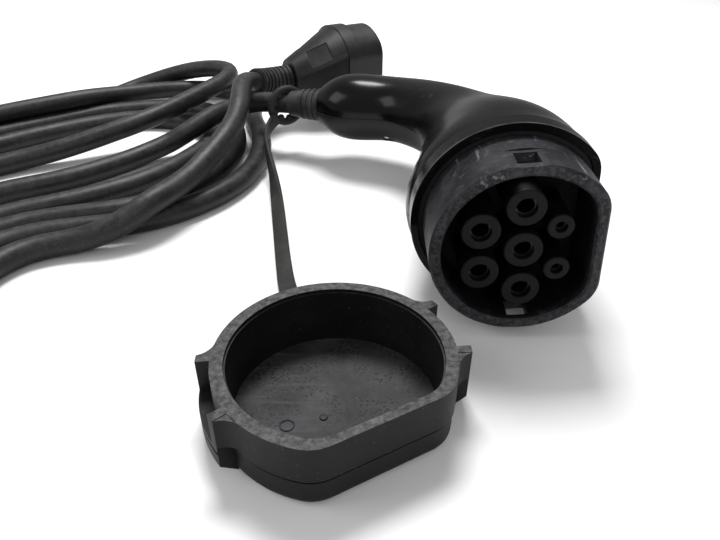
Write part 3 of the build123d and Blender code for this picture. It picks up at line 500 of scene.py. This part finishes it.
STRAP_WIDTH = 0.0065
STRAP_THICK = 0.0021
STRAP_STEPS = 70
STRAP_BLANK = 0.2
STRAP_STATIONS = [
    ((-63.4, 111.0, 21.6), 90, 1.25),
    ((-66.3, 107.0, 19.0), 90, 1.0),
    ((-68.5, 101.0, 16.0), 90, 1.0),
    ((-66.0, 84.0, 14.2), 85, 1.0),
    ((-61.0, 66.0, 9.0), 72, 1.0),
    ((-57.0, 46.0, 4.6), 35, 1.0),
    ((-53.0, 22.0, 2.2), 22, 1.0),
    ((-48.2, -8.0, 1.6), 12, 1.0),
    ((-44.0, -30.0, 1.8), 0, 1.12),
    ((-38.8, -43.5, 5.0), 0, 1.25),
    ((-35.8, -51.0, 10.0), 0, 1.35),
    ((-34.2, -56.2, 13.5), 0, 1.4),
]
strap_line = bpy.data.curves.new("strap_line", "CURVE")
strap_line.dimensions = "3D"
strap_line.twist_mode = "Z_UP"
strap_line.resolution_u = 16
strap_line.use_stretch = True
strap_line.use_deform_bounds = True
strap_line.use_radius = True
run = strap_line.splines.new("NURBS")
run.points.add(len(STRAP_STATIONS) - 1)
for point, (spot, twist, width) in zip(run.points, STRAP_STATIONS):
    point.co = (spot[0] / 1000, spot[1] / 1000, spot[2] / 1000, 1.0)
    point.tilt = math.radians(twist)
    point.radius = width
run.order_u = 3
run.use_endpoint_u = True
strap_guide = bpy.data.objects.new("strap_line", strap_line)
bpy.context.scene.collection.objects.link(strap_guide)
bpy.ops.object.select_all(action="DESELECT")
bpy.ops.mesh.primitive_plane_add(size=1.0)
strap = bpy.context.object
strap.scale = (STRAP_WIDTH, STRAP_THICK, 1.0)
strap.rotation_euler = (math.radians(90.0), 0, math.radians(90.0))
bpy.ops.object.transform_apply()
bpy.ops.object.mode_set(mode="EDIT")
bpy.ops.mesh.select_all(action="SELECT")
for _ in range(STRAP_STEPS):
    bpy.ops.mesh.extrude_region_move(
        TRANSFORM_OT_translate={"value": (STRAP_BLANK / STRAP_STEPS, 0, 0)}
    )
bpy.ops.mesh.select_all(action="SELECT")
bpy.ops.mesh.normals_make_consistent(inside=False)
bpy.ops.object.mode_set(mode="OBJECT")
rounding = strap.modifiers.new("rounding", "BEVEL")
rounding.width = 0.0006
rounding.segments = 3
rounding.limit_method = "ANGLE"
lay = strap.modifiers.new("lay", "CURVE")
lay.object = strap_guide
lay.deform_axis = "POS_X"
bpy.ops.object.modifier_apply(modifier="rounding")
bpy.ops.object.modifier_apply(modifier="lay")
bpy.data.objects.remove(strap_guide)
bpy.ops.object.select_all(action="DESELECT")
strap.select_set(True)
ring.select_set(True)
bpy.context.view_layer.objects.active = ring
bpy.ops.object.join()
bpy.ops.object.shade_smooth_by_angle(angle=math.radians(50))
strap_rubber = worn_finish(
    "strap_rubber", (0.020, 0.020, 0.019), (0.055, 0.055, 0.052), 0.8, 110.0, (0.55, 0.75),
    0.35, 0.0
)
flecks(strap_rubber, 1200.0, 0.66, 0.78, (0.12, 0.12, 0.115), 0.5)
ring.data.materials.append(strap_rubber)
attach(ring, "root")
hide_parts("cap_tether")

# Dust cap: an open cup of moulded rubber that fits over the nose, with a finger lug on
# either side. Its rim is rubbed pale, dried drops have left spots on its floor, and a
# painted shadow line runs round its outer wall under the step.
cap_rubber = worn_finish(
    "cap_rubber", (0.0070, 0.0066, 0.0074), (0.021, 0.020, 0.022), 0.6, 60.0, (0.45, 0.62), 0.35,
    0.00015
)
cap_tree = cap_rubber.node_tree
FLOOR_TOP = 0.0020
RIM_TOP = 0.0230
height = coordinate(cap_tree, "Z")
under = spread(cap_tree, height, FLOOR_TOP + 0.0008, FLOOR_TOP + 0.0001)
looking_up = facing_up(cap_tree)
cap_floor = both(cap_tree, under, looking_up)
clouds = spread(cap_tree, noise_field(cap_tree, 75.0, 6.0), 0.35, 0.68, 0.25, 1.0)
lay_over(cap_rubber, both(cap_tree, cap_floor, clouds), (0.048, 0.048, 0.051))
drops = cap_tree.nodes.new("ShaderNodeTexVoronoi")
drops.inputs["Scale"].default_value = 760.0
drop_place = cap_tree.nodes.new("ShaderNodeTexCoord")
cap_tree.links.new(drop_place.outputs["Object"], drops.inputs["Vector"])
drop_rings = spread(cap_tree, drops.outputs["Distance"], 0.46, 0.30, 0.0, 1.0)
drop_zone = spread(cap_tree, noise_field(cap_tree, 55.0, 2.0), 0.45, 0.52)
lay_over(
    cap_rubber, both(cap_tree, both(cap_tree, drop_rings, drop_zone), cap_floor),
    (0.013, 0.013, 0.015),
)
streaks = noise_field(cap_tree, 500.0, 2.0, (0.06, 1.0, 1.0), 0.9)
streaks = both(cap_tree, spread(cap_tree, streaks, 0.5, 0.68, 0.0, 0.5), cap_floor)
STREAKS_FROM = -0.020
STREAKS_FULL = -0.038
left_side = spread(cap_tree, coordinate(cap_tree, "X"), STREAKS_FROM, STREAKS_FULL)
lay_over(cap_rubber, both(cap_tree, streaks, left_side), (0.075, 0.072, 0.080))
rim_top = both(cap_tree, spread(cap_tree, height, RIM_TOP - 0.0014, RIM_TOP - 0.0006), looking_up)
rim_rub = spread(cap_tree, noise_field(cap_tree, 520.0, 6.0), 0.38, 0.62, 0.2, 1.0)
lay_over(cap_rubber, both(cap_tree, rim_top, rim_rub), (0.092, 0.092, 0.093))
CAP_CENTRE = (-0.0232, -0.0887, 0.0)
# Painted shadow: a near-black band with no specular on the outer wall just under the step, where
# its overhang casts shade.
STEP_HEIGHT = 0.0105
cap_place = cap_tree.nodes.new("ShaderNodeTexCoord")
from_centre = cap_tree.nodes.new("ShaderNodeVectorMath")
from_centre.operation = "SUBTRACT"
cap_tree.links.new(cap_place.outputs["Object"], from_centre.inputs[0])
from_centre.inputs[1].default_value = CAP_CENTRE
cap_surface = cap_tree.nodes.new("ShaderNodeNewGeometry")
outward = cap_tree.nodes.new("ShaderNodeVectorMath")
outward.operation = "DOT_PRODUCT"
cap_tree.links.new(from_centre.outputs["Vector"], outward.inputs[0])
cap_tree.links.new(cap_surface.outputs["Normal"], outward.inputs[1])
outer_side = spread(cap_tree, outward.outputs["Value"], 0.004, 0.010)
below_step = spread(cap_tree, height, STEP_HEIGHT + 0.0001, STEP_HEIGHT - 0.0001)
near_step = spread(cap_tree, height, STEP_HEIGHT - 0.0014, STEP_HEIGHT - 0.0009)
step_painted_shadow = both(cap_tree, both(cap_tree, below_step, near_step), outer_side)
lay_over(cap_rubber, step_painted_shadow, (0.0006, 0.0006, 0.0006))
cap_tree.links.new(
    spread(cap_tree, step_painted_shadow, 0.0, 1.0, 0.2, 0.0),
    cap_tree.nodes["Principled BSDF"].inputs["Specular IOR Level"],
)
flecks(cap_rubber, 1100.0, 0.68, 0.80, (0.2, 0.2, 0.2), 0.6)
wear(cap_rubber, "dust_cap")

# Lug webs: the cap's wall swells into the foot of each finger lug on its outer sides. They
# are part of the cap's own moulding, a hollow curve from the wall out to the lug's edge.
CAP_TURN = -60.4
LUG_TURNS = (81.5, 261.5)
WEB_SHAPE = [
    (19.0, 35.5), (19.0, 40.4), (19.8, 40.4), (20.8, 39.0), (22.0, 38.0), (23.6, 37.2),
    (25.6, 36.6), (28.2, 36.3), (31.0, 36.2), (31.0, 35.5),
]
WEB_FOOT = 0.0125
WEB_TOP = 0.0228
web_line = bpy.data.curves.new("cap_lug_webs", "CURVE")
web_line.dimensions = "2D"
web_line.fill_mode = "BOTH"
web_line.extrude = (WEB_TOP - WEB_FOOT) / 2
for lug_turn in LUG_TURNS:
    for side in (-1, 1):
        outline = web_line.splines.new("POLY")
        outline.points.add(len(WEB_SHAPE) - 1)
        outline.use_cyclic_u = True
        for point, (swing, radius) in zip(outline.points, WEB_SHAPE):
            bearing = math.radians(CAP_TURN + lug_turn + side * swing)
            x = CAP_CENTRE[0] + radius / 1000 * math.cos(bearing)
            y = CAP_CENTRE[1] + radius / 1000 * math.sin(bearing)
            point.co = (x, y, 0.0, 1.0)
webs = bpy.data.objects.new("cap_lug_webs", web_line)
bpy.context.scene.collection.objects.link(webs)
webs.location = (0, 0, (WEB_TOP + WEB_FOOT) / 2)
bpy.ops.object.select_all(action="DESELECT")
webs.select_set(True)
bpy.context.view_layer.objects.active = webs
bpy.ops.object.convert(target="MESH")
bpy.ops.object.transform_apply()
webs = bpy.context.object
bpy.ops.object.mode_set(mode="EDIT")
bpy.ops.mesh.select_all(action="SELECT")
bpy.ops.mesh.remove_doubles(threshold=0.00001)
bpy.ops.mesh.normals_make_consistent(inside=False)
bpy.ops.object.mode_set(mode="OBJECT")
bpy.ops.object.shade_smooth_by_angle(angle=math.radians(35))
webs.data.materials.append(cap_rubber)
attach(webs, "root")

# Marks in the cap's floor: the round stub where the mould was filled, and a round stamp
# with a raised edge, left plain here. Both are part of the rubber moulding.
GATE_AT = (-0.0268, -0.0942)
STAMP_AT = (-0.0376, -0.0975)
bpy.ops.object.select_all(action="DESELECT")
bpy.ops.mesh.primitive_cylinder_add(
    vertices=32, radius=0.0013, depth=0.0008, location=(*GATE_AT, FLOOR_TOP)
)
gate = bpy.context.object
gate.name = "cap_gate_mark"
bpy.ops.object.transform_apply()
bpy.ops.object.mode_set(mode="EDIT")
bpy.ops.mesh.select_all(action="SELECT")
bpy.ops.mesh.bevel(offset=0.0003, segments=3)
bpy.ops.object.mode_set(mode="OBJECT")
bpy.ops.object.shade_smooth_by_angle(angle=math.radians(40))
gate.data.materials.append(cap_rubber)
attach(gate, "root")
bpy.ops.object.select_all(action="DESELECT")
bpy.ops.mesh.primitive_torus_add(
    major_radius=0.0021, minor_radius=0.00022, major_segments=48, minor_segments=10,
    location=(*STAMP_AT, FLOOR_TOP + 0.0001),
)
stamp = bpy.context.object
stamp.name = "cap_stamp_ring"
bpy.ops.object.transform_apply()
bpy.ops.object.shade_smooth_by_angle(angle=math.radians(60))
stamp.data.materials.append(cap_rubber)
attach(stamp, "root")

# Plug at the far end: black moulding in two halves round a nose with seven wells. Ribbed
# finger recesses are moulded in its sides, and its sleeve bends with the cable.
plug_plastic = worn_finish(
    "plug_plastic", (0.005, 0.0048, 0.005), (0.018, 0.017, 0.017), 0.6, 60.0, (0.32, 0.48), 0.15,
    0.0005, 0.35
)
flecks(plug_plastic, 1000.0, 0.70, 0.80, (0.1, 0.1, 0.1), 0.4)
wear(plug_plastic, "plug_nose", "plug_insert", "plug_housing_upper", "plug_housing_lower")
wear(sleeve_rubber, "plug_strain_relief")

# Plug pins: turned copper-alloy pins with rounded ends and silver plating, held by the
# plate behind the wells.
pin_metal = metal_finish("pin_metal", (0.70, 0.69, 0.66), (0.15, 0.3), (0.4, 0.36, 0.3), 0.5)
wear(pin_metal, "plug_power_pins", "plug_signal_pins")

# Table and light: a pale matt table top, a soft lamp above and behind, and weaker, broader
# ones on the left and in front.
bpy.ops.object.select_all(action="DESELECT")
bpy.ops.mesh.primitive_plane_add(size=6.0, location=(0, 0, 0))
table = bpy.context.object
table.name = "table_top"
paper = bpy.data.materials.new("pale_table")
paper.use_nodes = True
paper.node_tree.nodes["Principled BSDF"].inputs["Base Color"].default_value = (0.9, 0.9, 0.9, 1)
paper.node_tree.nodes["Principled BSDF"].inputs["Roughness"].default_value = 0.8
table.data.materials.append(paper)

world = bpy.context.scene.world or bpy.data.worlds.new("world")
bpy.context.scene.world = world
world.use_nodes = True
world.node_tree.nodes["Background"].inputs["Color"].default_value = (1.0, 1.0, 1.0, 1)
world.node_tree.nodes["Background"].inputs["Strength"].default_value = 0.42


def soft_lamp(name, place, target, width, height, power):
    data = bpy.data.lights.new(name, "AREA")
    data.shape = "RECTANGLE"
    data.size = width
    data.size_y = height
    data.energy = power
    lamp = bpy.data.objects.new(name, data)
    bpy.context.scene.collection.objects.link(lamp)
    lamp.location = place
    lamp.rotation_euler = (Vector(target) - Vector(place)).to_track_quat("-Z", "Y").to_euler()
    return lamp


soft_lamp("lamp_above", (-0.06, 0.40, 0.85), (0, 0.05, 0), 0.36, 0.28, 9.0)
soft_lamp("lamp_left", (-0.9, -0.1, 0.6), (0, 0.05, 0), 0.5, 0.5, 2.2)
soft_lamp("lamp_front", (0.25, -0.9, 0.7), (0, 0.0, 0), 0.6, 0.5, 1.8)
